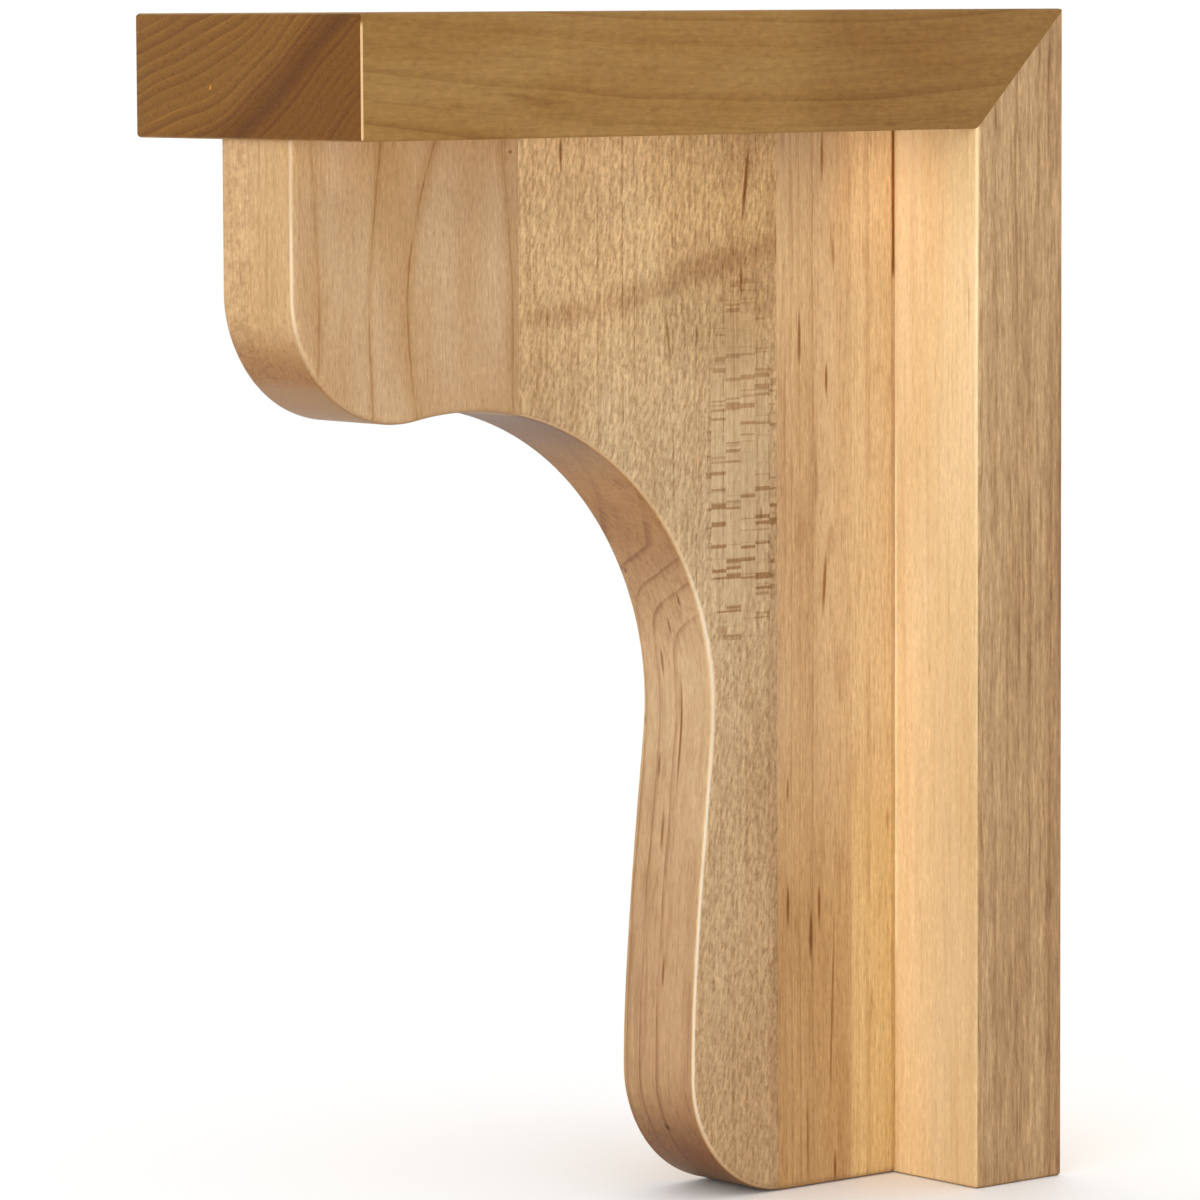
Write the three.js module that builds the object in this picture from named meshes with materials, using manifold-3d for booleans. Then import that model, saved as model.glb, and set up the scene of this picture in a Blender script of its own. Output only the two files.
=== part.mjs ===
// A corbel bracket of solid maple that carries a shelf or a mantel on a wall.
// A top board and a back board are mitred together at the upper back corner. Under them stands a
// web, sawn to a flowing outline (nose, arch, waist and toe) from a blank of three glued staves.
// Millimetres, +Z up. The wall is the plane y = 0, the bracket projects towards -Y, and the origin
// is the centre of the face that meets the wall.
import * as THREE from "three";
import { mergeVertices } from "three/addons/utils/BufferGeometryUtils.js";
import Module from "manifold-3d";

const wasm = await Module();
wasm.setup();

// The two boards
const height = 254; // wall face, from its bottom to its top
const projection = 190.5; // from the wall to the front end of the top board
const boardWidth = 76.2; // both boards, across
const topThickness = 25.4;
const backThickness = 25.4;
const boardEase = 1; // radius sanded on the boards' edges

// The web
const webThickness = 24;
const webSetback = 2; // its front behind the front end of the top board
const webEase = 1.5; // radius sanded on its outline
const noseDrop = 58.2; // lowest point of the nose, below the top board
const noseRadius = 27;
const archRadius = 66; // the arch runs straight on from the nose's round
const waistReach = 52.1; // waist, forward of the back board
const waistTurn = 5.5; // degrees that the arch turns on below the waist
const toeReach = 58.1; // toe, forward of the back board
const toeRadius = 27;

// The blank that the web is sawn from
const frontStaveWidth = 58.5; // the nose's stave
const backStaveWidth = 34.1; // the stave against the back board

// Fits and fineness
const glueLine = 0.1; // between any two glued faces
const arcStep = 3.5; // degrees between the points of a large arc
const easeSteps = 5; // facets across a sanded edge

const webReach = projection - webSetback - backThickness;
const webHeight = height - topThickness;
const blankExtra = 4 * webEase; // blank left behind both boards, so that no eased edge stays there

// A closed three.js geometry as a solid that can be cut.
function solid(geometry) {
  const bare = new THREE.BufferGeometry();
  bare.setAttribute("position", geometry.getAttribute("position"));
  bare.setIndex(geometry.getIndex());
  const merged = mergeVertices(bare, 1e-4);
  return new wasm.Manifold(
    new wasm.Mesh({
      numProp: 3,
      vertProperties: merged.attributes.position.array,
      triVerts: new Uint32Array(merged.index.array),
    }),
  );
}

// A solid back as a geometry, with flat shading.
function geometryOf(cut) {
  const mesh = cut.getMesh();
  const indexed = new THREE.BufferGeometry();
  indexed.setAttribute("position", new THREE.BufferAttribute(mesh.vertProperties, mesh.numProp));
  indexed.setIndex(new THREE.BufferAttribute(mesh.triVerts, 1));
  const flat = indexed.toNonIndexed();
  flat.computeVertexNormals();
  return flat;
}

// A block from one corner to the opposite one.
function block(low, high) {
  const [sx, sy, sz] = high.map((value, axis) => value - low[axis]);
  const box = new THREE.BoxGeometry(sx, sy, sz);
  return solid(box.translate(low[0] + sx / 2, low[1] + sy / 2, low[2] + sz / 2));
}

// Turns that lay a drawing's own x and y along two axes of the model, and its depth along the third.
const alongX = new THREE.Vector3(1, 0, 0);
const alongY = new THREE.Vector3(0, 1, 0);
const alongZ = new THREE.Vector3(0, 0, 1);
const layInto = {
  xy: new THREE.Matrix4(),
  yz: new THREE.Matrix4().makeBasis(alongY, alongZ, alongX),
  zx: new THREE.Matrix4().makeBasis(alongZ, alongX, alongY),
};

// A shape drawn in the plane of two axes, as a prism that runs from zero along the third.
function prism(shape, plane, depth) {
  const geometry = new THREE.ExtrudeGeometry(shape, {
    depth,
    bevelEnabled: false,
    curveSegments: easeSteps,
  });
  return solid(geometry.applyMatrix4(layInto[plane]));
}

// A rectangle that starts at the origin. Each corner has its own radius, or 0 where it stays sharp,
// in the order low left, low right, high right, high left.
function easedRectangle(width, length, radii) {
  const quarter = Math.PI / 2;
  const corners = [
    new THREE.Vector2(radii[0], radii[0]),
    new THREE.Vector2(width - radii[1], radii[1]),
    new THREE.Vector2(width - radii[2], length - radii[2]),
    new THREE.Vector2(radii[3], length - radii[3]),
  ];
  const shape = new THREE.Shape();
  corners.forEach((corner, i) => {
    const from = (i + 2) * quarter;
    if (radii[i] > 0) shape.absarc(corner.x, corner.y, radii[i], from, from + quarter, false);
    else shape.lineTo(corner.x, corner.y);
  });
  return shape;
}

// One board of the mitred pair. It stands along +Z from its square end, its inner face is y = 0
// and its outer face y = thickness, and the mitre falls from its outer edge at z = length towards
// the inner corner, which the other board's thickness sets.
function mitredBoard(thickness, length, otherThickness) {
  const ease = Math.min(boardEase, thickness / 3);
  const side = easedRectangle(thickness, length, [ease, ease, ease, 0]);
  const section = easedRectangle(boardWidth, thickness, [ease, ease, ease, ease]);
  const face = easedRectangle(length, boardWidth, [ease, 0, 0, ease]);
  return prism(side, "yz", boardWidth)
    .intersect(prism(section, "xy", length))
    .intersect(prism(face, "zx", thickness))
    .translate([-boardWidth / 2, 0, 0])
    .subtract(mitreWaste(thickness, length, otherThickness));
}

// What the saw takes off beyond the mitre, and half of the glue line with it.
function mitreWaste(thickness, length, otherThickness) {
  const slope = Math.atan2(otherThickness, thickness);
  const cut = Math.hypot(otherThickness, thickness);
  return block([-boardWidth, -cut, -glueLine / 2], [boardWidth, 2 * cut, cut])
    .rotate([THREE.MathUtils.radToDeg(slope), 0, 0])
    .translate([0, 0, length - otherThickness]);
}

// Points of an arc about a centre, from one angle to another in degrees, both ends included.
function arc(centre, radius, from, to) {
  const steps = Math.max(2, Math.ceil(Math.abs(to - from) / arcStep));
  return Array.from({ length: steps + 1 }, (_, i) => {
    const angle = THREE.MathUtils.degToRad(from + ((to - from) * i) / steps);
    return new THREE.Vector2(Math.cos(angle), Math.sin(angle)).multiplyScalar(radius).add(centre);
  });
}

// Points of the flowing stretch that leaves the arch at its own slant and comes down upright on the
// toe, with both ends left out.
function waistToToe(from, to) {
  const third = (from.y - to.y) / 3;
  const slant = third * Math.tan(THREE.MathUtils.degToRad(waistTurn));
  const leave = new THREE.Vector2(from.x + slant, from.y - third);
  const land = new THREE.Vector2(to.x, to.y + third);
  const steps = Math.ceil((3 * third) / (archRadius * THREE.MathUtils.degToRad(arcStep)));
  return new THREE.CubicBezierCurve(from, leave, land, to).getPoints(steps).slice(1, -1);
}

// The web's outline, seen from its side: x is the reach in front of the back board, y the height
// above the underside of the top board. It starts behind both boards, in stock that is cut away.
function webOutline() {
  const noseCentre = new THREE.Vector2(webReach - noseRadius, noseRadius - noseDrop);
  const archReach = waistReach + archRadius - noseCentre.x;
  const archDrop = Math.sqrt((noseRadius + archRadius) ** 2 - archReach ** 2);
  const archCentre = new THREE.Vector2(noseCentre.x + archReach, noseCentre.y - archDrop);
  const meeting = THREE.MathUtils.radToDeg(Math.atan2(archDrop, -archReach));
  const toeCentre = new THREE.Vector2(toeReach - toeRadius, toeRadius - webHeight);
  const nose = arc(noseCentre, noseRadius, 0, meeting - 180);
  const arch = arc(archCentre, archRadius, meeting, 180 + waistTurn);
  const toe = arc(toeCentre, toeRadius, 0, -90);
  return [
    new THREE.Vector2(-blankExtra, blankExtra),
    new THREE.Vector2(webReach, blankExtra),
    ...nose,
    ...arch.slice(1),
    ...waistToToe(arch[arch.length - 1], toe[0]),
    ...toe,
    new THREE.Vector2(-blankExtra, -webHeight),
  ];
}

// The blank sawn to the outline and eased on both sides, still running on behind both boards.
function sawnWeb() {
  const ease = Math.min(webEase, webThickness / 3);
  const shape = new THREE.Shape(webOutline().reverse());
  const geometry = new THREE.ExtrudeGeometry(shape, {
    depth: webThickness - 2 * ease,
    bevelThickness: ease,
    bevelSize: ease,
    bevelOffset: -ease,
    bevelSegments: easeSteps,
  });
  return solid(geometry.translate(0, 0, ease - webThickness / 2));
}

// The part of the web between two reaches, a glue line below the top board.
function stave(web, from, to) {
  const low = [from + glueLine / 2, -2 * webHeight, -webThickness];
  const high = [to - glueLine / 2, -glueLine, webThickness];
  return web.intersect(block(low, high));
}

// Clear maple, each piece in its own tone.
function maple(colour) {
  return new THREE.MeshStandardMaterial({ color: colour, roughness: 0.5, metalness: 0 });
}

function piece(name, cut, colour) {
  const mesh = new THREE.Mesh(geometryOf(cut), maple(colour));
  mesh.name = name;
  return mesh;
}

const bracket = new THREE.Group();

const backBoard = piece("back_board", mitredBoard(backThickness, height, topThickness), 0xd8b27c);
backBoard.position.set(0, -backThickness, -height / 2);
bracket.add(backBoard);

const topBoard = piece("top_board", mitredBoard(topThickness, projection, backThickness), 0xa98552);
topBoard.position.set(0, -projection, height / 2 - topThickness);
topBoard.rotation.set(Math.PI / 2, Math.PI, 0);
bracket.add(topBoard);

// The web is drawn from the corner under the boards: its x runs forwards and its y up.
const webGroup = new THREE.Group();
webGroup.position.set(0, -backThickness, height / 2 - topThickness);
webGroup.rotation.set(Math.PI / 2, -Math.PI / 2, 0);
const web = sawnWeb();
const staveEnds = [
  ["web_back_stave", glueLine / 2, backStaveWidth, 0xd0a56c],
  ["web_middle_stave", backStaveWidth, webReach - frontStaveWidth, 0xc9a46f],
  ["web_front_stave", webReach - frontStaveWidth, 2 * webReach, 0xcba679],
];
staveEnds.forEach(([name, from, to, colour]) => webGroup.add(piece(name, stave(web, from, to), colour)));
bracket.add(webGroup);

export default bracket;
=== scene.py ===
"""A maple corbel bracket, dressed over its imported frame.

Every piece is a mesh of its own in the frame's metres, with a solid wood grain worked out in
millimetres from the object's own coordinates, so that it runs through all faces of a piece.
"""

from math import atan2, ceil, cos, hypot, pi, radians, sin, sqrt, tan

import bmesh
import bpy
from mathutils import Matrix, Vector
from mathutils.geometry import tessellate_polygon


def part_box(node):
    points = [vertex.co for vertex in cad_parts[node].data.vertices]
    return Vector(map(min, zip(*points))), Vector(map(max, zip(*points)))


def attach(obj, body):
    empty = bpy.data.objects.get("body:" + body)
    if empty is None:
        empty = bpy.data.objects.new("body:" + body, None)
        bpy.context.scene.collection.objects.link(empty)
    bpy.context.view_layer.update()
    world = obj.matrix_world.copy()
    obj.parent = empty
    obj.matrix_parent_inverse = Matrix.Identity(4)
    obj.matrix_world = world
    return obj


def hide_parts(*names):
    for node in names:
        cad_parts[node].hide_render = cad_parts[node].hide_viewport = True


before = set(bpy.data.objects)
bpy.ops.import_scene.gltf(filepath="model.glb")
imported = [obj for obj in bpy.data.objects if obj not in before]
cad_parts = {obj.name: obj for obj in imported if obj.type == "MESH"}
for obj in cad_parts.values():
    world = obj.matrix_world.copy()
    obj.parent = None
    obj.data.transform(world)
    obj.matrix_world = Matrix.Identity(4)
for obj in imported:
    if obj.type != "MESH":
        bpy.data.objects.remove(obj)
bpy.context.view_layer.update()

MM = 0.001

# Places read from the frame
top_low, top_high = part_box("top_board")
back_low, back_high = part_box("back_board")
nose_low, nose_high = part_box("web_front_stave")
middle_low, middle_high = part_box("web_middle_stave")
heel_low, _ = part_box("web_back_stave")

PROJECTION = -top_low.y
HEIGHT = top_high.z - back_low.z
BOARD_WIDTH = top_high.x - top_low.x
TOP_THICKNESS = top_high.z - top_low.z
BACK_THICKNESS = back_high.y - back_low.y
WEB_HALF = nose_high.x
WEB_REACH = back_low.y - nose_low.y
WEB_HEIGHT = top_low.z - heel_low.z
NOSE_DROP = top_low.z - nose_low.z
FRONT_GLUE_Y = (nose_high.y + middle_low.y) / 2
BACK_GLUE_Y = (middle_high.y + heel_low.y) / 2

# The web's outline, as the frame's solids have it
NOSE_RADIUS = 27 * MM
ARCH_RADIUS = 66 * MM
WAIST_REACH = 52.1 * MM
WAIST_TURN = radians(5.5)
TOE_REACH = 58.1 * MM
TOE_RADIUS = 27 * MM

# Hand finishing, and the fineness of the meshes
BOARD_EASE = 0.9 * MM
WEB_EASE = 1.6 * MM
WEB_EASE_SWAY = 0.35 * MM
SWAY_WAVES = ((2.3, 0.4, 2 / 3), (7.1, 2.0, 1 / 3))  # how many, where they start, their share
HAIRLINE = 0.03 * MM
ARC_STEP = radians(1.5)
EASE_STEPS = 6
HOLD = 0.4 * MM
GRID = 6 * MM
FLOW_PITCH = 1.5 * MM
FRONT_STEPS = 12
WELD = 1e-7
CUT_SNAP = 1e-8
SHARP_ANGLE = radians(32)

# The faces that single marks in the grain lie on, in millimetres
BOARD_SIDE = 38
BOARD_FRONT = -25
WEB_SIDE = 12
NECK_FRONT = -79

# Mineral streaks in the grain, in millimetres
STREAK_WIDTH = 0.6
STREAK_LENGTH = 18.0

# The sanded, satin surface
SATIN = (0.44, 0.58)
BUMP_STRENGTH = 0.3
BUMP_DISTANCE = 0.12 * MM
RELIEF_DEPTH = 2.5

# Growth lines on the nose are given at this height, and bend over this span, in millimetres
LINE_MIDDLE = 75.0
LINE_SPAN = 25.0


def finish_piece(name, mesh, material, node):
    """Turns an edit mesh into a smooth-shaded piece that stands for one node."""
    data = bpy.data.meshes.new(name)
    bmesh.ops.remove_doubles(mesh, verts=mesh.verts, dist=WELD)
    bmesh.ops.recalc_face_normals(mesh, faces=mesh.faces)
    mesh.to_mesh(data)
    mesh.free()
    data.shade_smooth()
    data.set_sharp_from_angle(angle=SHARP_ANGLE)
    data.materials.append(material)
    piece = bpy.data.objects.new(name, data)
    bpy.context.scene.collection.objects.link(piece)
    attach(piece, "root")
    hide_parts(node)


def spaced(start, end):
    """Values from start to end: both ends, a holding line beside each, and even steps between."""
    low, high = start + HOLD, end - HOLD
    steps = max(1, round((high - low) / GRID))
    between = [low + (high - low) * i / steps for i in range(steps + 1)]
    return [start, *between, end]


def board_section(thickness, inset):
    """A board's rounded section, inset all round, as points (across, through)."""
    ease = BOARD_EASE
    half = BOARD_WIDTH / 2 - ease
    inner, outer = ease, thickness - ease
    flat_across = spaced(-half, half)
    flat_through = spaced(inner, outer)
    sides = [
        ([(a, inset) for a in flat_across], (half, inner), -pi / 2),
        ([(half + ease - inset, t) for t in flat_through], (half, outer), 0),
        ([(a, thickness - inset) for a in reversed(flat_across)], (-half, outer), pi / 2),
        ([(inset - half - ease, t) for t in reversed(flat_through)], (-half, inner), pi),
    ]
    points = []
    for flat, centre, start in sides:
        points += flat
        for k in range(1, EASE_STEPS):
            angle = start + pi / 2 * k / EASE_STEPS
            radius = ease - inset
            points.append((centre[0] + radius * cos(angle), centre[1] + radius * sin(angle)))
    return points


def skin(mesh, loops):
    """Joins each closed loop to the next one with a band of quads."""
    for lower, upper in zip(loops, loops[1:]):
        for i in range(len(lower)):
            j = (i + 1) % len(lower)
            mesh.faces.new((lower[i], lower[j], upper[j], upper[i]))


def board_mesh(thickness, length, other_thickness, placed):
    """A board with a square eased end at 0 and a mitre whose tip is at its length."""
    ease = BOARD_EASE
    rings = []
    for k in range(EASE_STEPS):
        angle = pi / 2 * k / EASE_STEPS
        section = board_section(thickness, ease * (1 - sin(angle)))
        rings.append([(a, t, ease * (1 - cos(angle))) for a, t in section])
    shares = [(s - ease) / (length - ease) for s in spaced(ease, length - ease)]
    shares += [1 - ease * (1 - k / EASE_STEPS) / (length - ease) for k in range(1, EASE_STEPS + 1)]
    for share in shares:
        ring = []
        for a, t in board_section(thickness, 0):
            end = length - (thickness - t) * other_thickness / thickness - HAIRLINE / 2
            ring.append((a, t, ease + share * (end - ease)))
        rings.append(ring)
    mesh = bmesh.new()
    loops = []
    for ring in rings:
        points = [round_tip(point, thickness, length) for point in ring]
        loops.append([mesh.verts.new(placed(*point)) for point in points])
    skin(mesh, loops)
    cap_end(mesh, loops[0])
    cap_end(mesh, loops[-1])
    return mesh


def round_tip(point, thickness, length):
    """Pulls what lies in the outer corner, where the two boards meet, back onto its round."""
    across, through, along = point
    out, up = through - (thickness - BOARD_EASE), along - (length - BOARD_EASE)
    reach = hypot(out, up)
    if out <= 0 or up <= 0 or reach <= BOARD_EASE:
        return point
    k = BOARD_EASE / reach
    return across, thickness - BOARD_EASE + out * k, length - BOARD_EASE + up * k


def cap_end(mesh, loop):
    """Closes a loop with a narrow holding ring and a flat face inside it."""
    face = mesh.faces.new(loop)
    bmesh.ops.inset_region(mesh, faces=[face], thickness=HOLD, use_even_offset=True)


def top_board_place(across, through, along):
    return Vector((across, along - PROJECTION, top_low.z + through))


def back_board_place(across, through, along):
    return Vector((across, back_low.y + through, back_low.z + along))


def arc(centre, radius, start, end):
    """Points of an arc, both ends included."""
    steps = max(2, ceil(abs(end - start) / ARC_STEP))
    angles = [start + (end - start) * i / steps for i in range(steps + 1)]
    return [Vector((centre[0] + radius * cos(a), centre[1] + radius * sin(a))) for a in angles]


def waist_to_toe(start, end):
    """The flowing stretch from the arch down to the toe, both ends left out."""
    third = (start.y - end.y) / 3
    leave = Vector((start.x + third * tan(WAIST_TURN), start.y - third))
    land = Vector((end.x, end.y + third))
    steps = ceil(3 * third / FLOW_PITCH)
    points = []
    for i in range(1, steps):
        t = i / steps
        s = 1 - t
        points.append(s**3 * start + 3 * s * s * t * leave + 3 * s * t * t * land + t**3 * end)
    return points


def web_outline():
    """The web from its side: reach in front of the back board, height above its top edge."""
    extra = 4 * WEB_EASE
    nose_centre = (WEB_REACH - NOSE_RADIUS, NOSE_RADIUS - NOSE_DROP)
    arch_reach = WAIST_REACH + ARCH_RADIUS - nose_centre[0]
    arch_drop = sqrt((NOSE_RADIUS + ARCH_RADIUS) ** 2 - arch_reach**2)
    arch_centre = (nose_centre[0] + arch_reach, nose_centre[1] - arch_drop)
    meeting = atan2(arch_drop, -arch_reach)
    nose = arc(nose_centre, NOSE_RADIUS, 0, meeting - pi)
    arch = arc(arch_centre, ARCH_RADIUS, meeting, pi + WAIST_TURN)
    toe = arc((TOE_REACH - TOE_RADIUS, TOE_RADIUS - WEB_HEIGHT), TOE_RADIUS, 0, -pi / 2)
    fall = (extra - nose[0].y) / FRONT_STEPS
    front = [Vector((WEB_REACH, extra - fall * i)) for i in range(FRONT_STEPS)]
    flow = [*front, *nose, *arch[1:], *waist_to_toe(arch[-1], toe[0]), *toe]
    return [Vector((-extra, extra)), *flow, Vector((-extra, -WEB_HEIGHT))]


def outline_normals(outline):
    """The outward normal at each point of the outline, which runs clockwise."""
    normals = []
    for i, point in enumerate(outline):
        before = (point - outline[i - 1]).normalized()
        after = (outline[(i + 1) % len(outline)] - point).normalized()
        along = (before + after).normalized()
        stretch = 1 / max(0.5, along.dot(before))  # a mitre no longer than twice the inset
        normals.append(Vector((-along.y, along.x)) * stretch)
    return normals


def hand_ease(share):
    """The radius sanded on the web's edge, which sways a little along the outline."""
    waves = [part * sin(2 * pi * count * share + start) for count, start, part in SWAY_WAVES]
    return WEB_EASE + WEB_EASE_SWAY * sum(waves)


def web_blank():
    """The web sawn to its outline and eased on both sides, still running on behind both boards."""
    outline = web_outline()
    normals = outline_normals(outline)
    eases = [hand_ease(i / len(outline)) for i in range(len(outline))]
    turns = [pi / 2 * k / EASE_STEPS for k in range(EASE_STEPS + 1)]
    rings = [(1, pi / 2, HOLD), *[(1, turn, 0) for turn in reversed(turns)]]
    rings += [(-side, turn, hold) for side, turn, hold in reversed(rings)]
    mesh = bmesh.new()
    loops = []
    for side, turn, hold in rings:
        loop = []
        for point, normal, ease in zip(outline, normals, eases):
            at = point - normal * (ease * (1 - cos(turn)) + hold)
            x = side * (WEB_HALF - ease * (1 - sin(turn)))
            loop.append(mesh.verts.new((x, back_low.y - at.x, top_low.z + at.y)))
        loops.append(loop)
    skin(mesh, loops)
    for loop in (loops[0], loops[-1]):
        for corners in tessellate_polygon([[vertex.co for vertex in loop]]):
            mesh.faces.new([loop[i] for i in corners])
    bmesh.ops.recalc_face_normals(mesh, faces=mesh.faces)
    return mesh


def cut(mesh, place, away):
    """Cuts a closed mesh at a plane, drops what lies on the away side and closes the cut."""
    everything = [*mesh.verts, *mesh.edges, *mesh.faces]
    result = bmesh.ops.bisect_plane(
        mesh, geom=everything, plane_co=place, plane_no=away, clear_outer=True, dist=CUT_SNAP
    )
    edges = [e for e in result["geom_cut"] if isinstance(e, bmesh.types.BMEdge)]
    bmesh.ops.triangle_fill(mesh, use_beauty=True, edges=edges)


def stave(blank, front_y, back_y):
    """The part of the blank between two upright planes, under the top board."""
    mesh = blank.copy()
    cut(mesh, Vector((0, 0, top_low.z - HAIRLINE)), Vector((0, 0, 1)))
    cut(mesh, Vector((0, back_y, 0)), Vector((0, 1, 0)))
    if front_y is not None:
        cut(mesh, Vector((0, front_y, 0)), Vector((0, -1, 0)))
    return mesh


class Wood:
    """A node material under construction, with the grain's coordinates in millimetres."""

    def __init__(self, name, along, seed):
        self.material = bpy.data.materials.new(name)
        self.material.use_nodes = True
        self.tree = self.material.node_tree
        self.tree.nodes.clear()
        self.seed = seed
        coordinates = self.tree.nodes.new("ShaderNodeTexCoord")
        self.place = self.vector("SCALE", coordinates.outputs["Object"], scale=1 / MM)
        self.x, self.y, self.z = self.parts(self.place)
        facing = self.parts(coordinates.outputs["Normal"])
        self.normal = [self.math("ABSOLUTE", share) for share in facing]
        order = (0, 1, 2) if along == "z" else (0, 2, 1)  # the grain runs along its third axis
        ordered = [(self.x, self.y, self.z)[k] for k in order]
        self.grain = self.together(*ordered)
        self.end = self.normal[order[2]]

    def add(self, kind, inputs, **settings):
        """A new shader node, with each input linked to a socket or set to a value."""
        node = self.tree.nodes.new("ShaderNode" + kind)
        for key, value in settings.items():
            setattr(node, key, value)
        for key, value in inputs.items():
            if isinstance(value, bpy.types.NodeSocket):
                self.tree.links.new(value, node.inputs[key])
            else:
                node.inputs[key].default_value = value
        return node

    def math(self, operation, a, b=None, c=None):
        """One operation on numbers."""
        inputs = {i: v for i, v in enumerate((a, b, c)) if v is not None}
        return self.add("Math", inputs, operation=operation).outputs[0]

    def vector(self, operation, a, b=None, c=None, scale=None):
        """One operation on vectors."""
        inputs = {i: v for i, v in enumerate((a, b, c)) if v is not None}
        if scale is not None:
            inputs["Scale"] = scale
        node = self.add("VectorMath", inputs, operation=operation)
        return node.outputs["Value" if operation == "LENGTH" else "Vector"]

    def parts(self, vector):
        """The three shares of a vector."""
        return list(self.add("SeparateXYZ", {0: vector}).outputs)

    def together(self, x, y, z):
        """A vector from its three shares."""
        return self.add("CombineXYZ", {0: x, 1: y, 2: z}).outputs[0]

    def ramp(self, value, low, high, to_low=0.0, to_high=1.0):
        """A smooth step from one value to another, which also runs from a high to a low."""
        inputs = {0: value, 1: low, 2: high, 3: to_low, 4: to_high}
        return self.add("MapRange", inputs, interpolation_type="SMOOTHSTEP").outputs[0]

    def mix(self, share, a, b, blend="MIX"):
        """The first colour, blended with the second by a share."""
        inputs = {0: share, 6: a, 7: b}
        return self.add("Mix", inputs, data_type="RGBA", blend_type=blend).outputs[2]

    def times(self, *masks):
        """The product of masks and numbers."""
        total = masks[0]
        for mask in masks[1:]:
            total = self.math("MULTIPLY", total, mask)
        return total

    def tint(self, colour, mask, red, green, blue):
        """Multiplies the colour's shares where the mask is."""
        return self.mix(mask, colour, (red, green, blue, 1.0), "MULTIPLY")

    def shade(self, colour, mask, depth):
        """Browns the colour where the mask is, by a depth from 0 to 1."""
        return self.tint(colour, mask, 1 - 0.75 * depth, 1 - depth, 1 - min(1.0, 1.25 * depth))

    def light(self, colour, mask, gain):
        """Lifts the colour where the mask is, or dims it where the gain is below 0."""
        return self.tint(colour, mask, 1 + gain, 1 + gain, 1 + gain)

    def noise(self, stretch, detail=2.0, shift=0.0, colour=False, at=None):
        """Noise with a size per millimetre along each of the grain's axes."""
        offset = (self.seed + shift, 0.7 * self.seed - shift, 0.3 * self.seed)
        place = self.vector("MULTIPLY_ADD", at or self.grain, stretch, offset)
        node = self.add("TexNoise", {"Vector": place, "Scale": 1.0, "Detail": detail})
        return node.outputs[1 if colour else 0]

    def warped(self, size, stretch):
        """The grain's place, pushed about by slow noise."""
        push = self.noise(stretch, 1.0, 3.1, colour=True)
        centred = self.vector("SUBTRACT", push, (0.5, 0.5, 0.5))
        return self.vector("MULTIPLY_ADD", centred, (2 * size, 2 * size, 0.0), self.grain)

    def rings(self, radius, width, uneven=0.8, offset=0.0):
        """Growth rings along a radius: the share through each ring, and a random value for each."""
        place = {"W": self.math("MULTIPLY_ADD", radius, 0.3 / width, self.seed), "Scale": 1.0}
        drift = self.add("TexNoise", place, noise_dimensions="1D").outputs[0]
        level = self.math("MULTIPLY_ADD", drift, 2 * uneven, offset - uneven)
        count = self.math("MULTIPLY_ADD", radius, 1 / width, level)
        ring = self.math("ADD", self.math("FLOOR", count), self.seed)
        own = self.add("TexWhiteNoise", {"W": ring}, noise_dimensions="1D").outputs[0]
        return self.math("FRACT", count), own

    def growth_line(self, share, own, start=0.55, least=0.1, most=0.7):
        """The dark late wood that ends each ring, stronger in some rings than in others."""
        rise = self.ramp(share, start, 0.95)
        fall = self.ramp(share, 0.95, 1.0, 1.0, 0.0)
        return self.times(rise, fall, self.ramp(own, 0.1, 1.0, least, most))

    def band(self, value, low, high, edge):
        """1 between two values, falling off softly past either."""
        rise = self.ramp(value, low - edge, low)
        fall = self.ramp(value, high, high + edge, 1.0, 0.0)
        return self.times(rise, fall)

    def streaks(self, rarity):
        """Sparse thin mineral streaks along the grain."""
        thin = self.noise((1 / STREAK_WIDTH, 1 / STREAK_WIDTH, 1 / STREAK_LENGTH), 1.0, 8.0)
        return self.ramp(thin, rarity, rarity + 0.08)

    def spot(self, centre, size, lean=0.0):
        """A soft ellipsoid at a place in millimetres, leaning in the side view by some degrees."""
        turn = (radians(lean), 0, 0)
        inputs = {"Vector": self.place, "Location": centre, "Rotation": turn, "Scale": size}
        inside = self.add("Mapping", inputs, vector_type="TEXTURE").outputs[0]
        return self.ramp(self.vector("LENGTH", inside), 0.25, 1.0, 1.0, 0.0)

    def spots(self, rows):
        """The strongest of several spots, each with its own strength."""
        total = None
        for centre, size, lean, strength in rows:
            mask = self.math("MULTIPLY", self.spot(centre, size, lean), strength)
            total = mask if total is None else self.math("MAXIMUM", total, mask)
        return total

    def close(self, colour, fibre, relief=None, gloss=0.3):
        """Feeds the surface with a sanded, satin finish and returns the material."""
        roughness = self.ramp(fibre, 0.2, 0.8, *SATIN)
        height = fibre
        if relief is not None:
            height = self.math("MULTIPLY_ADD", relief, -RELIEF_DEPTH, fibre)
        bumped = {"Strength": BUMP_STRENGTH, "Distance": BUMP_DISTANCE, "Height": height}
        normal = self.add("Bump", bumped).outputs[0]
        inputs = {"Base Color": colour, "Roughness": roughness, "Normal": normal}
        surface = self.add("BsdfPrincipled", {**inputs, "Specular IOR Level": gloss})
        self.add("OutputMaterial", {"Surface": surface.outputs[0]}).is_active_output = True
        return self.material


def tone(red, green, blue):
    """A display colour, 0 to 255, as the linear colour that shaders take."""
    def linear(value):
        value /= 255
        return value / 12.92 if value <= 0.04045 else ((value + 0.055) / 1.055) ** 2.4
    return linear(red), linear(green), linear(blue), 1.0


def clouded(wood, cloud, first, second):
    """A ground colour that drifts slowly from one display colour to another."""
    return wood.mix(wood.ramp(cloud, 0.3, 0.7), tone(*first), tone(*second))


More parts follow.
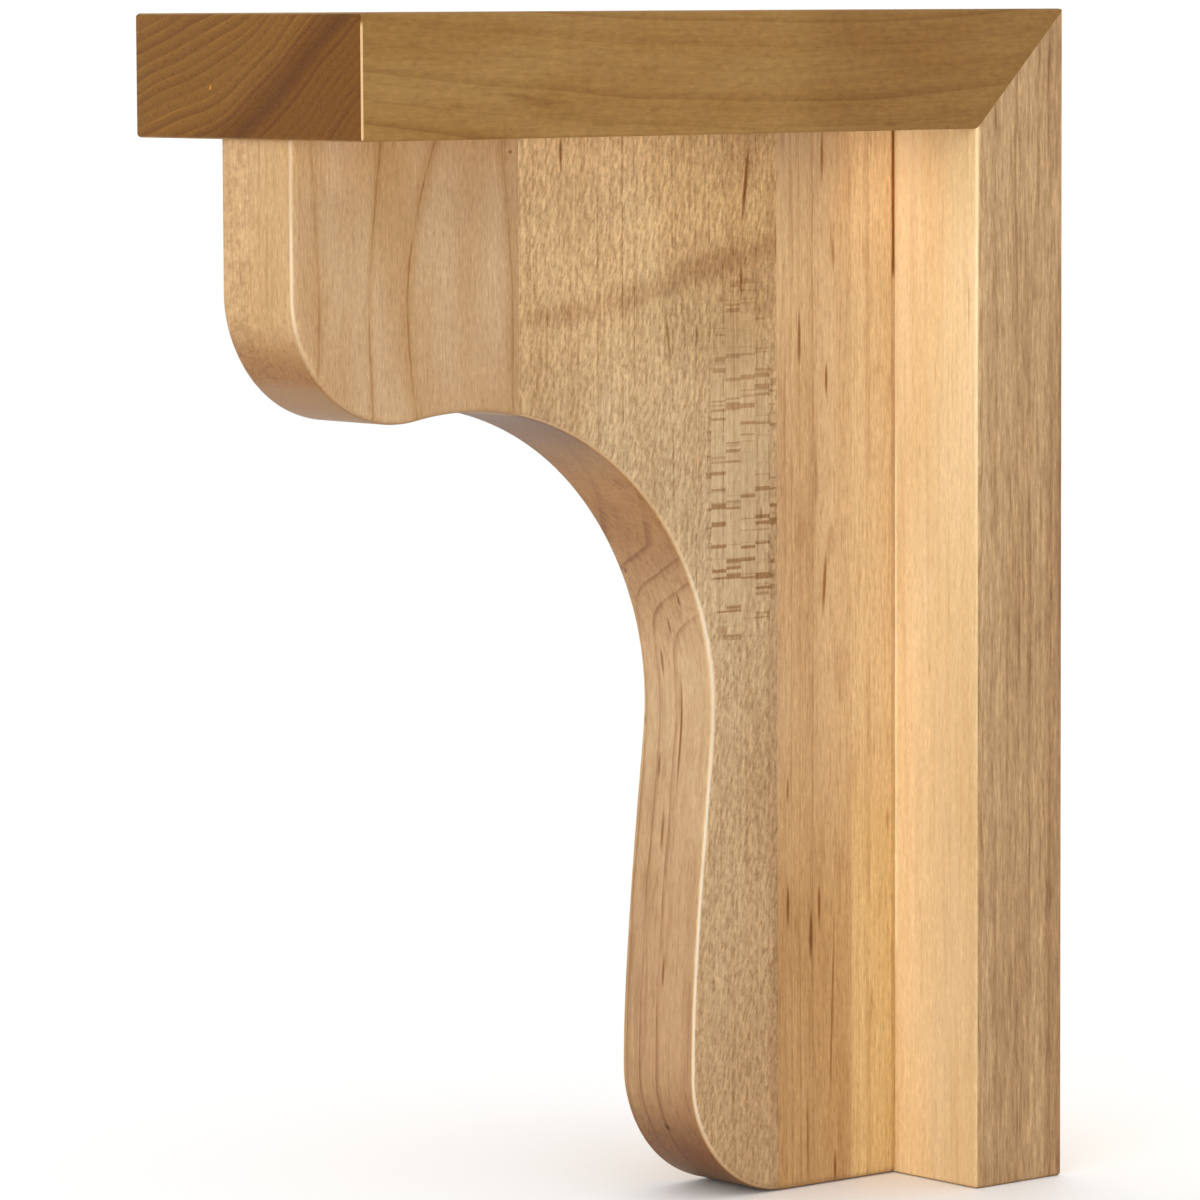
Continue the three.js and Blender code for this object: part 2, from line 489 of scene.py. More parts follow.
def silk(wood, colour, depth=0.14, length=22.0, grit=1.0):
    """The fibre that all the maple shares: long fine lines, feathery strokes and short pores."""
    line = wood.noise((2.4, 2.4, 1 / length), 3.0, 2.0)
    stroke = wood.noise((1.5, 1.5, 3.2 / length), 4.0, 17.0)
    pore = wood.noise((2.5, 2.5, 0.6), 2.0, 6.0)
    colour = wood.shade(colour, wood.ramp(line, 0.42, 0.7), depth)
    colour = wood.shade(colour, wood.ramp(stroke, 0.52, 0.7), 1.1 * depth)
    colour = wood.light(colour, wood.ramp(stroke, 0.47, 0.32), 0.7 * depth)
    colour = wood.shade(colour, wood.ramp(pore, 0.52, 0.7), 1.2 * depth * grit)
    colour = wood.light(colour, wood.ramp(pore, 0.47, 0.3), 1.1 * depth * grit)
    return colour, line


def top_board_side(wood, line, fine):
    """The long faces of the top board: growth lines, a fuzz of pores, and some dark streaks."""
    cloud = wood.noise((0.06, 0.1, 0.02), 3.0, 1.0)
    side = clouded(wood, cloud, (151, 116, 63), (142, 104, 51))
    side = wood.shade(side, wood.ramp(wood.y, -82.0, -62.0), 0.2)
    side = wood.shade(side, line, 0.24)
    side = wood.shade(side, fine, 0.09)
    fuzz = wood.noise((0.9, 0.9, 0.45), 3.0, 23.0)
    side = wood.shade(side, wood.ramp(fuzz, 0.5, 0.7), 0.12)
    side = wood.light(side, wood.ramp(fuzz, 0.47, 0.3), 0.1)
    streaks = wood.spots([
        ((BOARD_SIDE, -150, 110), (3, 7, 0.8), -8, 0.8),
        ((BOARD_SIDE, -146, 109), (3, 11, 1.6), -6, 0.5),
        ((BOARD_SIDE, -115, 107), (3, 1.8, 0.8), 0, 0.6),
        ((BOARD_SIDE, -50, 103), (3, 2.2, 0.7), 0, 0.5),
        ((BOARD_SIDE, -128, 104), (3, 5, 0.5), -4, 0.4),
    ])
    return wood.shade(side, wood.math("MAXIMUM", streaks, wood.streaks(0.76)), 0.4)


def top_board_end(wood, radius, fine, fine_share, fine_own):
    """The sawn end of the top board: arcs of rings, a dark band across them, and pores."""
    end = wood.mix(wood.ramp(radius, 24.0, 34.0), tone(125, 84, 27), tone(112, 70, 10))
    heart = wood.times(wood.ramp(radius, 26.0, 36.4), wood.ramp(radius, 36.4, 39.5, 1.0, 0.0))
    end = wood.shade(end, heart, 0.36)
    end = wood.shade(end, wood.times(fine, wood.ramp(heart, 0.0, 1.0, 1.0, 0.4)), 0.36)
    pale = wood.ramp(fine_share, 0.0, 0.25, 1.0, 0.0)
    pale = wood.times(pale, wood.ramp(fine_own, 0.3, 0.8, 0.2, 1.0))
    broken = wood.ramp(wood.noise((0.12, 0.12, 0.12), 2.0, 19.0), 0.4, 0.62)
    end = wood.light(end, wood.times(pale, broken, wood.ramp(heart, 0.0, 0.6, 1.0, 0.0)), 0.3)
    speck = wood.noise((1.6, 1.6, 1.6), 3.0, 13.0)
    end = wood.shade(end, wood.ramp(speck, 0.5, 0.72), 0.28)
    return wood.light(end, wood.spot((-12, -190, 112), (0.5, 3, 0.7)), 1.8)


def top_board_wood():
    """The brown top board: growth lines along its sides, and their arcs on its sawn end."""
    wood = Wood("top_board_maple", "y", 4.0)
    sag = wood.math("ADD", wood.y, 80.0)
    sag = wood.times(sag, sag, 0.00055)
    push = wood.parts(wood.warped(1.4, (0.05, 0.05, 0.02)))
    flat = wood.math("MULTIPLY", push[0], 0.3)
    steep = wood.math("MULTIPLY_ADD", push[0], 0.75, 1.5)
    slope = wood.math("SMOOTH_MAX", flat, steep, 8.0)
    radius = wood.math("SUBTRACT", wood.math("ADD", wood.math("ADD", slope, sag), 130.0), push[1])
    share, own = wood.rings(radius, 5.2, 0.5)
    line = wood.growth_line(share, own, 0.7, 0.3, 1.0)
    fine_share, fine_own = wood.rings(radius, 2.6, 0.6, 0.3)
    fine = wood.growth_line(fine_share, fine_own, 0.1, 0.35, 1.0)
    side = top_board_side(wood, line, fine)
    end = top_board_end(wood, radius, fine, fine_share, fine_own)
    colour = wood.mix(wood.ramp(wood.end, 0.6, 0.8), side, end)
    colour, fibre = silk(wood, colour, 0.06, 24.0)
    # Painted highlight on the front right arris, partly the paler tone of its sanded wood
    corner = wood.band(wood.normal[0], 0.6, 0.85, 0.12)
    corner = wood.times(corner, wood.band(wood.normal[1], 0.5, 0.8, 0.12))
    corner = wood.times(corner, wood.ramp(wood.x, 30.0, 37.0), wood.ramp(wood.z, 125.6, 124.0))
    colour = wood.mix(wood.times(corner, 0.62), colour, tone(248, 208, 158))
    return wood.close(colour, fibre, gloss=0.16)


def back_board_front(wood, cloud):
    """The fair front of the back board: painted light near the top and low down beside the web, and
    a paler line beside the web.
    """
    front = clouded(wood, cloud, (243, 214, 168), (236, 203, 151))
    # Darker towards the bottom; painted light towards the top lifts the shade under the top board
    front = wood.shade(front, wood.ramp(wood.z, 90.0, -60.0), 0.14)
    front = wood.light(front, wood.ramp(wood.z, 20.0, 90.0), 0.12)
    # Painted light beside the web near the top, against the shade of the top board
    upper = wood.times(wood.ramp(wood.z, 60.0, 100.0), wood.ramp(wood.x, 34.0, 16.0))
    front = wood.light(front, upper, 0.12)
    outer = wood.ramp(wood.x, 22.0, 37.0)
    front = wood.shade(front, wood.times(outer, wood.ramp(wood.z, 20.0, -60.0)), 0.09)
    front = wood.tint(front, wood.times(outer, wood.ramp(wood.z, 66.0, 100.0)), 0.86, 0.84, 0.76)
    # Painted light low down beside the web, against the shade of the corner there
    inner = wood.times(wood.ramp(wood.x, 30.0, 14.0), wood.ramp(wood.z, 30.0, -30.0))
    front = wood.light(front, inner, 0.14)
    veins = wood.noise((0.7, 0.7, 0.015), 2.0, 4.0)
    front = wood.shade(front, wood.ramp(veins, 0.45, 0.75), 0.12)
    streaks = wood.spots([
        ((35.5, BOARD_FRONT, 64), (0.35, 4, 9), 0, 1.0),
        ((25, BOARD_FRONT, 49), (0.3, 4, 4), 0, 0.7),
        ((20, BOARD_FRONT, 32), (0.3, 4, 2.5), 0, 0.7),
        ((23, BOARD_FRONT, -15), (0.3, 4, 3), 0, 0.8),
        ((20, BOARD_FRONT, -67), (0.3, 4, 2.5), 0, 0.7),
    ])
    front = wood.shade(front, streaks, 0.35)
    aside = wood.math("ABSOLUTE", wood.x)
    beside = wood.times(wood.ramp(aside, 13.0, 12.5), wood.ramp(wood.y, -20.0, -24.0))
    pale_line = wood.times(beside, wood.ramp(wood.z, 42.0, 26.0), wood.ramp(wood.z, -82.0, -72.0), 0.8)
    return wood.mix(pale_line, front, tone(255, 232, 186))


def back_board_side(wood, cloud, line, fine):
    """The patchy sides of the back board, darker along the wall."""
    side = clouded(wood, cloud, (186, 153, 111), (171, 136, 95))
    patchy = wood.ramp(wood.noise((0.15, 0.15, 0.02), 2.0, 29.0), 0.38, 0.62, 0.25, 1.0)
    lines = wood.math("MAXIMUM", line, wood.times(fine, 0.7))
    side = wood.shade(side, wood.times(lines, patchy), 0.36)
    wave = wood.noise((1.1, 1.1, 0.12), 4.0, 22.0)
    side = wood.shade(side, wood.ramp(wave, 0.5, 0.68), 0.26)
    side = wood.light(side, wood.ramp(wave, 0.47, 0.34), 0.22)
    wall_edge = wood.times(wood.ramp(wood.y, -6.5, -4.0), wood.ramp(wood.z, 60.0, 8.0, 0.4, 1.0))
    side = wood.shade(side, wall_edge, 0.28)
    streaks = wood.spots([
        ((BOARD_SIDE, -20, 104), (6, 0.5, 5), 2, 1.0),
        ((BOARD_SIDE, -4.5, 113), (6, 0.6, 9), -2, 1.0),
        ((BOARD_SIDE, -22, 40), (6, 1.0, 24), 1, 0.4),
    ])
    side = wood.shade(side, wood.ramp(wood.z, -20.0, -90.0), 0.1)
    return wood.shade(side, wood.math("MAXIMUM", streaks, wood.streaks(0.72)), 0.45)


def back_board_wood():
    """The fair back board: silky on its front, patchy on its sides."""
    wood = Wood("back_board_maple", "z", 11.0)
    at = wood.parts(wood.warped(1.7, (0.06, 0.06, 0.011)))
    radius = wood.math("MULTIPLY_ADD", at[0], -0.35, at[1])
    share, own = wood.rings(radius, 3.3, 0.5)
    fine_share, fine_own = wood.rings(radius, 1.2, 0.8)
    line = wood.growth_line(share, own, 0.45, 0.4, 1.0)
    fine = wood.growth_line(fine_share, fine_own, 0.3, 0.0, 0.6)
    cloud = wood.noise((0.12, 0.12, 0.012), 3.0, 1.0)
    front = back_board_front(wood, cloud)
    side = back_board_side(wood, cloud, line, fine)
    facing = wood.ramp(wood.normal[1], 0.45, 0.75)
    plain = wood.shade(wood.mix(facing, side, front), wood.ramp(wood.end, 0.4, 0.9), 0.3)
    colour, fibre = silk(wood, plain, 0.13, 13.0)
    colour = wood.mix(wood.times(facing, 0.4), colour, plain)
    # The outer front arris: dimmed a little low down, and higher up a painted highlight that is
    # partly the paler tone of sanded wood
    corner = wood.band(wood.normal[0], 0.35, 0.85, 0.2)
    corner = wood.times(corner, wood.band(wood.normal[1], 0.35, 0.85, 0.2))
    colour = wood.light(colour, wood.times(corner, wood.ramp(wood.z, 20.0, -40.0)), -0.04)
    sanded = wood.times(corner, wood.ramp(wood.z, 40.0, 95.0), 0.5)
    colour = wood.mix(sanded, colour, tone(252, 220, 172))
    return wood.close(colour, fibre)


def web_finish(wood, colour, pale_line, under, turn=(0.68, 0.95)):
    """End grain darkens where the outline turns level, partly its own tone and partly painted
    shade; undersides take a painted tone of shade and reflection, and the arris a painted
    highlight.
    """
    outward = wood.ramp(wood.normal[0], 0.85, 0.35, 0.25, 1.0)
    # Darker where the outline turns level: partly the end grain's own tone, partly painted shade on
    # the faces that turn down
    slope = wood.times(wood.ramp(wood.end, 0.1, 0.7), outward)
    colour = wood.shade(colour, slope, 0.62)
    # The faces that turn down take a painted tone of shade and of the floor's reflection
    colour = wood.mix(wood.times(wood.ramp(wood.end, *turn), 0.65), colour, under)
    # A painted highlight along the eased arris, varied by slow noise
    arris = wood.band(wood.normal[0], 0.6, 0.72, 0.16)
    arris = wood.times(arris, wood.ramp(wood.end, 0.5, 0.08, 0.1, 0.6))
    highlight_sway = wood.noise((0.03, 0.03, 0.025), 2.0, 12.0)
    arris = wood.times(arris, wood.ramp(highlight_sway, 0.38, 0.58, 0.4, 1.0))
    return wood.mix(arris, colour, pale_line)


def beside_line(wood, across, middle, lean, bow):
    """How far a place lies behind one growth line that curves gently up the nose."""
    up = wood.math("MULTIPLY_ADD", wood.z, 1 / LINE_SPAN, -LINE_MIDDLE / LINE_SPAN)
    bent = wood.math("MULTIPLY_ADD", wood.times(up, up), bow, middle)
    return wood.math("SUBTRACT", across, wood.math("MULTIPLY_ADD", up, lean, bent))


def nose_lines(wood, colour, side):
    """The long growth lines on the side of the nose, each a soft band with a dark core."""
    place = wood.parts(wood.warped(0.5, (0.07, 0.05, 0.07)))
    across = wood.math("MULTIPLY_ADD", place[0], 0.25, wood.math("SUBTRACT", place[1], 3.0))
    lines = [  # middle, lean, bow, strength and width
        (-181.9, -0.7, -0.8, 0.55, 1.0),
        (-168.4, 1.3, 1.25, 0.8, 1.6),
        (-158.5, 2.85, 3.75, 1.0, 3.2),
        (-132.1, -1.4, -0.8, 0.8, 2.6),
    ]
    broken = wood.ramp(wood.noise((0.1, 0.1, 0.09), 2.0, 15.0), 0.35, 0.6, 0.35, 1.0)
    for middle, lean, bow, strength, width in lines:
        behind = beside_line(wood, across, middle, lean, bow)
        away = wood.math("ABSOLUTE", behind)
        soft = wood.times(wood.ramp(away, width, 0.2), side, strength)
        core = wood.times(wood.ramp(away, 0.4, 0.1), side, strength, broken)
        colour = wood.tint(colour, soft, 0.88, 0.82, 0.7)
        colour = wood.tint(colour, core, 0.72, 0.6, 0.42)
    return colour


def nose_front(wood, colour):
    """The sawn front of the nose: flecks with painted relief shading, a brown patch on the turn of
    its round that is partly painted shade, and veins.
    """
    front = wood.ramp(wood.normal[0], 0.5, 0.2)
    colour = wood.tint(colour, front, 1.04, 1.04, 0.98)
    dark, pale, _ = ray_flecks(wood)
    # The flecks' dark and pale sides, painted as the shade and highlight of their relief
    flecked = wood.times(front, wood.ramp(wood.x, 3.0, -4.0, 0.15, 1.0))
    colour = wood.shade(colour, wood.times(flecked, dark), 0.17)
    colour = wood.light(colour, wood.times(flecked, pale), 0.12)
    # A brown band where the round turns down: partly end grain, partly painted shade
    patch = wood.times(front, wood.band(wood.end, 0.46, 0.6, 0.16))
    colour = wood.tint(colour, patch, 0.92, 0.86, 0.72)
    veins = wood.noise((0.9, 0.9, 0.02), 2.0, 4.0)
    return wood.shade(colour, wood.times(front, wood.ramp(veins, 0.5, 0.72)), 0.14)


def front_stave_wood():
    """The flat-sawn stave of the nose, with four long growth lines on its side."""
    wood = Wood("web_front_stave_maple", "z", 21.0)
    cloud = wood.noise((0.05, 0.08, 0.02), 2.0, 1.0)
    colour = clouded(wood, cloud, (197, 164, 124), (184, 147, 102))
    side = wood.ramp(wood.normal[0], 0.5, 0.8)
    colour = nose_lines(wood, colour, side)
    warm = wood.times(wood.spot((0, -164, 104), (60, 14, 34)), side)
    colour = wood.tint(colour, warm, 0.98, 0.94, 0.84)
    colour = wood.shade(colour, wood.ramp(wood.y, -136.0, -130.0), 0.08)
    # Painted light along the top of the side, against the shade under the top board
    colour = wood.light(colour, wood.times(side, wood.ramp(wood.z, 86.0, 102.0)), 0.27)
    colour = wood.shade(colour, wood.times(side, wood.ramp(wood.z, 80.0, 52.0)), 0.11)
    colour = nose_front(wood, colour)
    knots = wood.spots([((WEB_SIDE, -132.1, 98.3), (4, 0.8, 0.6), 0, 1.0)])
    colour = wood.shade(colour, knots, 0.6)
    colour, fibre = silk(wood, colour, 0.12, 10.0)
    # The arris gets a pale painted highlight; the faces that turn down get a painted tone of shade
    # and reflection
    colour = web_finish(wood, colour, tone(240, 218, 186), tone(146, 112, 74), (0.62, 0.74))
    return wood.close(colour, fibre)


def ray_flecks(wood):
    """The leaning flecks of quarter-sawn maple: dark and pale sides painted as the shade and
    highlight of their relief, and dark specks.
    """
    across = wood.math("MULTIPLY_ADD", wood.z, -0.3, wood.y)
    place = wood.together(wood.x, across, wood.z)
    size = (0.5, 0.9, 0.5)
    here = wood.noise(size, 2.0, 5.0, at=place)
    there = wood.noise(size, 2.0, 5.0, at=wood.vector("ADD", place, (0.4, 0.3, 0.22)))
    slant = wood.math("SUBTRACT", here, there)
    speck = wood.noise((0.4, 0.85, 0.45), 2.0, 16.0, at=place)
    dark = wood.ramp(slant, 0.02, 0.14)
    pale = wood.ramp(slant, -0.02, -0.14)
    return dark, pale, wood.ramp(speck, 0.59, 0.66)


def ray_bars(wood):
    """Broad rays where the cut lies exactly along them: short level bars in upright columns."""
    column = wood.math("FLOOR", wood.math("MULTIPLY", wood.y, 1 / 4.1))
    stepped = wood.math("MULTIPLY", column, 0.42)
    place = wood.together(wood.x, stepped, wood.z)
    bar = wood.noise((0.1, 1.0, 0.8), 1.5, 9.0, at=place)
    block = wood.spot((WEB_SIDE, -69, 28), (30, 12.5, 54))
    inside = wood.times(wood.ramp(block, 0.02, 0.3), wood.ramp(wood.z, 56.0, 10.0, 0.65, 1.0))
    return wood.times(wood.ramp(bar, 0.55, 0.64), inside, wood.ramp(wood.z, -9.0, -4.0))


def neck_figure(wood):
    """Flat-sawn loops on the web's sawn front, which close on one edge above the waist."""
    place = wood.parts(wood.warped(0.7, (0.09, 0.09, 0.05)))
    down = wood.math("MULTIPLY", place[0], -1.0)
    high = wood.math("MINIMUM", place[2], wood.math("MULTIPLY_ADD", place[2], 0.3, 9.8))
    over = wood.math("MULTIPLY_ADD", high, 0.79, wood.math("MULTIPLY_ADD", place[0], -0.34, 4.55))
    level = wood.math("SMOOTH_MAX", down, over, 10.0)
    closer = wood.math("MULTIPLY_ADD", wood.math("MINIMUM", level, 11.0), 0.0049, 0.152)
    count = wood.math("MULTIPLY_ADD", level, closer, 0.89)
    share = wood.math("FRACT", count)
    line = wood.times(wood.ramp(share, 0.74, 0.97), wood.ramp(share, 0.97, 1.0, 1.0, 0.0))
    broken = wood.noise((0.1, 0.1, 0.03), 2.0, 31.0)
    line = wood.times(line, wood.ramp(broken, 0.3, 0.6, 0.4, 1.0))
    beside_arris = wood.times(wood.ramp(wood.x, 4.5, 7.5), wood.ramp(wood.z, 4.0, -6.0))
    line = wood.times(line, wood.ramp(wood.z, 8.0, 34.0, 1.0, 0.3))
    return wood.times(line, wood.ramp(beside_arris, 0.0, 1.0, 1.0, 0.15))


def middle_stave_ground(wood, side):
    """The ground colour of the middle stave, with the broad tones of its side and painted light
    near its top.
    """
    cloud = wood.noise((0.05, 0.05, 0.015), 2.0, 1.0)
    colour = clouded(wood, cloud, (214, 183, 137), (203, 168, 120))
    below = wood.times(side, wood.ramp(wood.z, 80.0, 20.0))
    colour = wood.tint(colour, below, 0.78, 0.8, 0.87)
    lower = wood.times(side, wood.ramp(wood.z, 15.0, -50.0))
    colour = wood.tint(colour, lower, 0.94, 0.885, 0.83)
    # Painted light near the top, against the shade under the top board
    upper = wood.times(side, wood.ramp(wood.z, 86.0, 102.0), wood.ramp(wood.y, -70.0, -110.0))
    colour = wood.light(colour, upper, 0.32)
    heavy = wood.spot((WEB_SIDE, -76, 66), (30, 34, 24))
    colour = wood.tint(colour, wood.times(side, heavy), 0.78, 0.73, 0.66)
    honey = wood.times(side, wood.ramp(wood.z, 64.0, 88.0), wood.ramp(wood.y, -112.0, -84.0))
    colour = wood.tint(colour, honey, 1.0, 0.95, 0.85)
    crown = wood.times(side, wood.ramp(wood.y, -110.0, -126.0), wood.ramp(wood.z, 84.0, 66.0))
    colour = wood.shade(colour, crown, 0.1)
    joint = wood.times(side, wood.ramp(wood.y, -62.5, -60.0), wood.ramp(wood.z, 66.0, 40.0))
    return wood.shade(colour, joint, 0.18)


def quarter_sawn(wood, colour, side):
    """Flecks, stripes and dashes on a side. Also gives the mask of the flecks' dark sides."""
    place = wood.parts(wood.warped(0.5, (0.03, 0.03, 0.008)))
    share, own = wood.rings(place[1], 3.4, 0.3)
    column = wood.growth_line(share, own, 0.8, 0.3, 1.0)
    dark, pale, specks = ray_flecks(wood)
    calm = wood.ramp(wood.spot((WEB_SIDE, -70, 32), (30, 12, 46)), 0.1, 0.5, 1.0, 0.35)
    flat = wood.times(side, calm, wood.ramp(wood.z, -30.0, 30.0, 0.8, 0.9))
    dark = wood.times(dark, flat)
    # The flecks' dark and pale sides: painted shade and highlight of their relief
    colour = wood.shade(colour, dark, 0.29)
    colour = wood.light(colour, wood.times(pale, flat), 0.24)
    specks = wood.times(specks, flat, wood.ramp(wood.z, 40.0, -30.0, 0.3, 1.0))
    colour = wood.shade(colour, specks, 0.27)
    stripe = wood.noise((0.2, 0.9, 0.02), 2.0, 25.0)
    colour = wood.shade(colour, wood.times(side, wood.ramp(stripe, 0.42, 0.7)), 0.16)
    dash = wood.noise((0.3, 0.3, 0.5), 2.0, 7.0)
    dashes = wood.times(column, side, wood.ramp(dash, 0.42, 0.58))
    dashes = wood.times(dashes, wood.ramp(wood.z, -20.0, 30.0, 0.4, 1.0))
    return wood.shade(colour, dashes, 0.5), dark


def slanting_stain(wood):
    """The stain that slants across the middle stave, as overlapping spots."""
    return wood.spots([
        ((WEB_SIDE, -61, 77), (30, 11, 5), 12, 1.0),
        ((WEB_SIDE, -77, 73.5), (30, 20, 4.5), 9, 0.9),
        ((WEB_SIDE, -97, 68), (30, 22, 4), 12, 0.7),
        ((WEB_SIDE, -118, 64.5), (30, 15, 3.5), 4, 0.8),
        ((WEB_SIDE, -60, 84), (30, 5, 14), 0, 0.5),
        ((WEB_SIDE, -62, 64), (30, 6, 3), 10, 0.6),
        ((WEB_SIDE, -63, 72), (30, 8, 13), 0, 0.45),
    ])


def middle_stave_streaks(wood):
    """The dark streaks of the middle stave: those that stand out, and sparse ones."""
    streaks = wood.spots([
        ((WEB_SIDE, -68.1, 90.5), (5, 0.75, 12), -7, 1.0),
        ((WEB_SIDE, -69.4, 70), (5, 0.6, 6), 0, 0.8),
        ((WEB_SIDE, -118.7, 98), (5, 0.6, 5), 0, 0.9),
        ((WEB_SIDE, -89.8, 59), (5, 0.5, 8), 7, 0.7),
        ((WEB_SIDE, -81.8, 59), (5, 0.5, 3), 0, 0.7),
        ((WEB_SIDE, -64, 20), (5, 0.6, 2), 0, 0.6),
    ])
    return wood.math("MAXIMUM", streaks, wood.streaks(0.78))


def neck_front(wood, colour):
    """The sawn front of the neck: broad tones down to the toe, veins, loops and dark ticks."""
    front = wood.ramp(wood.normal[0], 0.5, 0.2)
    colour = wood.tint(colour, front, 1.05, 1.01, 1.03)
    colour = wood.light(colour, wood.times(front, wood.ramp(wood.z, 34.0, 6.0)), -0.15)
    haunch = wood.times(front, wood.band(wood.z, 20.0, 34.0, 8.0))
    colour = wood.tint(colour, haunch, 1.07, 1.13, 1.09)
    colour = wood.shade(colour, wood.times(front, wood.ramp(wood.z, 0.0, -95.0, 0.25, 1.0)), 0.26)
    colour = wood.shade(colour, wood.times(front, wood.ramp(wood.z, -92.0, -112.0)), 0.3)
    patch = wood.noise((0.12, 0.12, 0.03), 2.0, 20.0)
    colour = wood.shade(colour, wood.times(front, wood.ramp(patch, 0.45, 0.7)), 0.14)
    veins = wood.noise((0.8, 0.8, 0.025), 3.0, 4.0)
    colour = wood.shade(colour, wood.times(front, wood.ramp(veins, 0.48, 0.7)), 0.2)
    colour = wood.shade(colour, wood.times(front, neck_figure(wood)), 0.42)
    ticks = wood.spots([
        ((5.5, NECK_FRONT, 2.3), (0.6, 40, 2.2), 0, 0.8),
        ((0.2, NECK_FRONT, -3.9), (0.6, 40, 2.6), 0, 0.8),
        ((-4.1, NECK_FRONT, -12), (0.6, 40, 4), 0, 0.9),
        ((1.6, NECK_FRONT, -27), (0.55, 40, 17), 0, 1.0),
        ((-10.6, NECK_FRONT, -24.8), (0.6, 40, 2), 0, 0.8),
        ((-4.8, NECK_FRONT, -34.5), (0.6, 40, 4), 0, 0.8),
        ((-2.1, NECK_FRONT, -48), (0.6, 40, 6), 0, 0.9),
        ((1.2, NECK_FRONT, -78), (0.6, 40, 5), 0, 0.9),
        ((-9.2, NECK_FRONT, 7.8), (0.7, 40, 1), 0, 0.8),
        ((0, -80, -112), (1.1, 40, 1.2), 0, 1.0),
    ])
    return wood.shade(colour, wood.times(front, ticks), 0.72)


def middle_stave_wood():
    """The quarter-sawn stave of the neck: flecks and bars, a slanting stain, dark streaks."""
    wood = Wood("web_middle_stave_maple", "z", 33.0)
    side = wood.ramp(wood.normal[0], 0.6, 0.9)
    colour = middle_stave_ground(wood, side)
    colour, dark = quarter_sawn(wood, colour, side)
    colour = wood.shade(colour, wood.times(slanting_stain(wood), side), 0.34)
    colour = wood.shade(colour, wood.times(ray_bars(wood), side), 0.56)
    colour = wood.shade(colour, middle_stave_streaks(wood), 0.78)
    colour = neck_front(wood, colour)
    colour, fibre = silk(wood, colour, 0.12, 12.0, 0.55)
    # A painted tone of shade and reflection for the undersides, and a pale arris tone for the
    # painted highlight
    under = wood.mix(wood.ramp(wood.z, 22.0, 46.0), tone(114, 84, 48), tone(87, 71, 64))
    colour = web_finish(wood, colour, tone(230, 219, 202), under)
    return wood.close(colour, fibre, wood.times(dark, 0.5))


def back_stave_streaks(wood):
    """The dark streaks and blotches of the back stave: those that stand out, and sparse ones."""
    streaks = wood.spots([
        ((WEB_SIDE, -46.4, 96), (5, 0.6, 8), 0, 0.9),
        ((WEB_SIDE, -43.3, 75), (5, 0.55, 5), 2, 0.7),
        ((WEB_SIDE, -53.0, 57), (5, 0.6, 8), 0, 0.9),
        ((WEB_SIDE, -45.3, 48), (5, 0.6, 5), 0, 1.0),
        ((WEB_SIDE, -45.9, 4), (5, 0.7, 9), -4, 1.0),
        ((WEB_SIDE, -57.3, 40), (5, 0.5, 22), 0, 0.35),
        ((WEB_SIDE, -55.1, 84), (5, 0.5, 22), 1, 0.35),
        ((WEB_SIDE, -48.5, 30), (5, 0.45, 16), 0, 0.3),
        ((WEB_SIDE, -44.0, 13), (5, 2.0, 5), 0, 0.3),
        ((WEB_SIDE, -56.6, -40), (5, 0.6, 4), 0, 0.7),
        ((WEB_SIDE, -56.6, -65), (5, 0.7, 7), 0, 1.0),
        ((WEB_SIDE, -50.0, -72), (5, 0.8, 8), 0, 1.0),
        ((WEB_SIDE, -47.6, -65.5), (5, 0.65, 6), 0, 0.9),
        ((WEB_SIDE, -43.9, -89), (5, 0.5, 28), -2, 0.7),
        ((WEB_SIDE, -43.1, -123.5), (5, 0.65, 5), 0, 0.9),
        ((WEB_SIDE, -51.0, -115), (5, 0.6, 14), 0, 0.6),
        ((WEB_SIDE, -27.6, -48.5), (5, 0.6, 4), 0, 0.6),
        ((WEB_SIDE, -52.5, 15), (5, 2.4, 6), 0, 0.3),
    ])
    return wood.math("MAXIMUM", streaks, wood.streaks(0.74))


